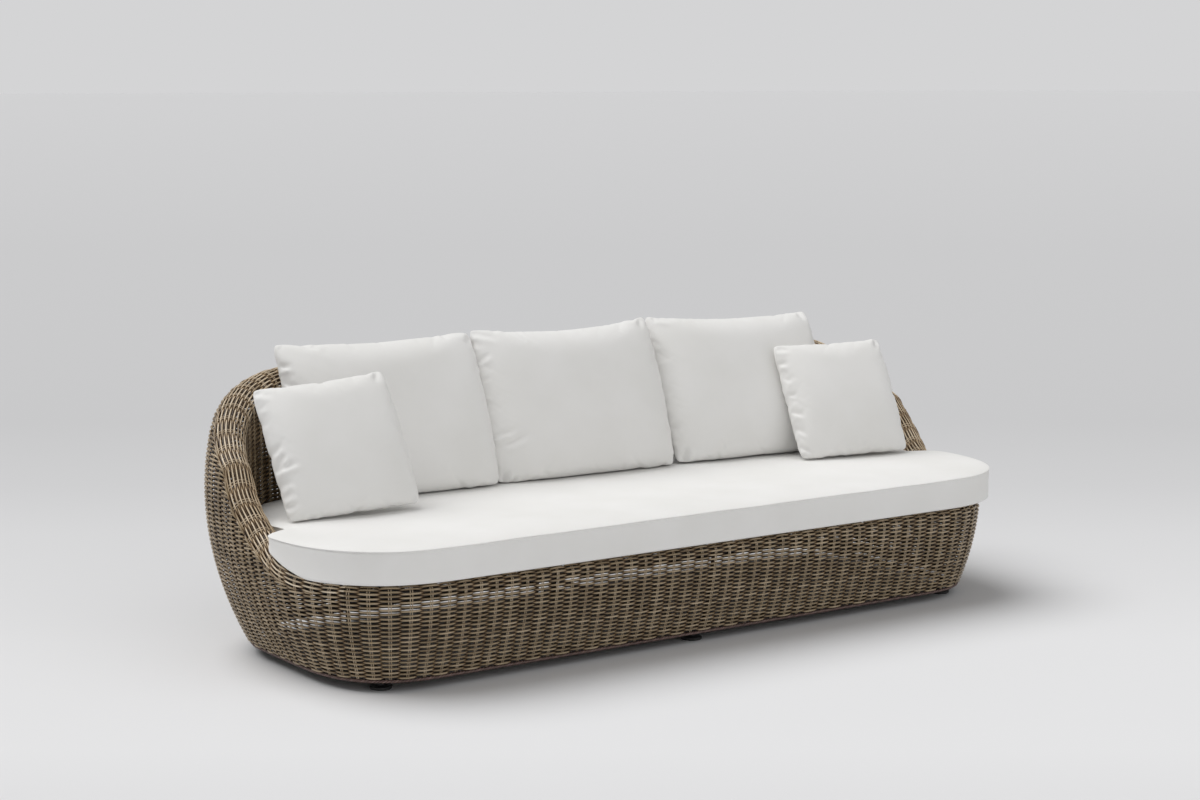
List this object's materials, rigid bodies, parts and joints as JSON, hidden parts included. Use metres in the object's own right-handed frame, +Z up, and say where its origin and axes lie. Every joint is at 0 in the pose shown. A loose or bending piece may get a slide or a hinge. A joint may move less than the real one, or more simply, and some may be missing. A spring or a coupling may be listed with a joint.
{
  "type": "garden sofa",
  "caption": "Woven resin garden sofa: low skirted shell whose rolled rim rises into arms and back, with a boxed seat cushion, loose back cushions and throw pillows.",
  "frame": {"origin": "on the floor under the middle of the whole sofa's outline", "axes": "+X along the sofa towards the right arm as seen from in front, +Y towards the back, +Z up"},
  "size_m": [2.7862, 1.148, 0.9542],
  "materials": {
    "woven_resin": "round extruded resin strands, grey-brown, satin",
    "braid_resin": "twisted resin border strand, satin",
    "frame_tube": "powder coated dark brown",
    "glide_rubber": "moulded black",
    "cushion_cover": "plain woven outdoor canvas, off-white"
  },
  "bodies": {
    "woven_shell": {"bottom_braid": "braid_resin", "cross_bar_1": "frame_tube", "cross_bar_2": "frame_tube", "cross_bar_3": "frame_tube", "cross_bar_4": "frame_tube", "cross_bar_5": "frame_tube", "crown_tube": "frame_tube", "foot_rail_center": "frame_tube", "foot_rail_left": "frame_tube", "foot_rail_right": "frame_tube", "foot_ring": "frame_tube", "front_rib_1_center": "frame_tube", "front_rib_2_right": "frame_tube", "front_rib_3_left": "frame_tube", "front_rib_4_right": "frame_tube", "front_rib_5_left": "frame_tube", "glide_back_center": "glide_rubber", "glide_back_left": "glide_rubber", "glide_back_right": "glide_rubber", "glide_front_center": "glide_rubber", "glide_front_left": "glide_rubber", "glide_front_right": "glide_rubber", "inner_rib_1_right": "frame_tube", "inner_rib_2_left": "frame_tube", "inner_rib_3_right": "frame_tube", "inner_rib_4_left": "frame_tube", "inner_rib_5_right": "frame_tube", "inner_rib_6_left": "frame_tube", "inner_rib_7_center": "frame_tube", "lining_weave_back": "woven_resin", "lining_weave_left": "woven_resin", "lining_weave_right": "woven_resin", "outer_rib_1_right": "frame_tube", "outer_rib_2_left": "frame_tube", "outer_rib_3_right": "frame_tube", "outer_rib_4_left": "frame_tube", "outer_rib_5_right": "frame_tube", "outer_rib_6_left": "frame_tube", "outer_rib_7_center": "frame_tube", "rim_weave_back": "woven_resin", "rim_weave_front": "woven_resin", "rim_weave_left": "woven_resin", "rim_weave_right": "woven_resin", "seat_deck": "woven_resin", "seat_ring": "frame_tube", "wall_weave_back": "woven_resin", "wall_weave_front": "woven_resin", "wall_weave_left": "woven_resin", "wall_weave_right": "woven_resin"},
    "seat_cushion_body": {"seat_cushion": "cushion_cover"},
    "back_cushion_left_body": {"back_cushion_left": "cushion_cover"},
    "back_cushion_center_body": {"back_cushion_center": "cushion_cover"},
    "back_cushion_right_body": {"back_cushion_right": "cushion_cover"},
    "throw_pillow_left_body": {"throw_pillow_left": "cushion_cover"},
    "throw_pillow_right_body": {"throw_pillow_right": "cushion_cover"}
  },
  "joints": [
    {"name": "seat_cushion_lift", "type": "slide", "parent": "woven_shell", "child": "seat_cushion_body", "axis": [0, 0, 1], "range_m": [0, 0.56]},
    {"name": "back_cushion_left_lift", "type": "slide", "parent": "seat_cushion_body", "child": "back_cushion_left_body", "axis": [0, 0, 1], "range_m": [0, 0.45]},
    {"name": "back_cushion_center_lift", "type": "slide", "parent": "seat_cushion_body", "child": "back_cushion_center_body", "axis": [0, 0, 1], "range_m": [0, 0.45]},
    {"name": "back_cushion_right_lift", "type": "slide", "parent": "seat_cushion_body", "child": "back_cushion_right_body", "axis": [0, 0, 1], "range_m": [0, 0.45]},
    {"name": "throw_pillow_left_lift", "type": "slide", "parent": "back_cushion_left_body", "child": "throw_pillow_left_body", "axis": [0, 0, 1], "range_m": [0, 0.4]},
    {"name": "throw_pillow_right_lift", "type": "slide", "parent": "back_cushion_right_body", "child": "throw_pillow_right_body", "axis": [0, 0, 1], "range_m": [0, 0.4]}
  ]
}
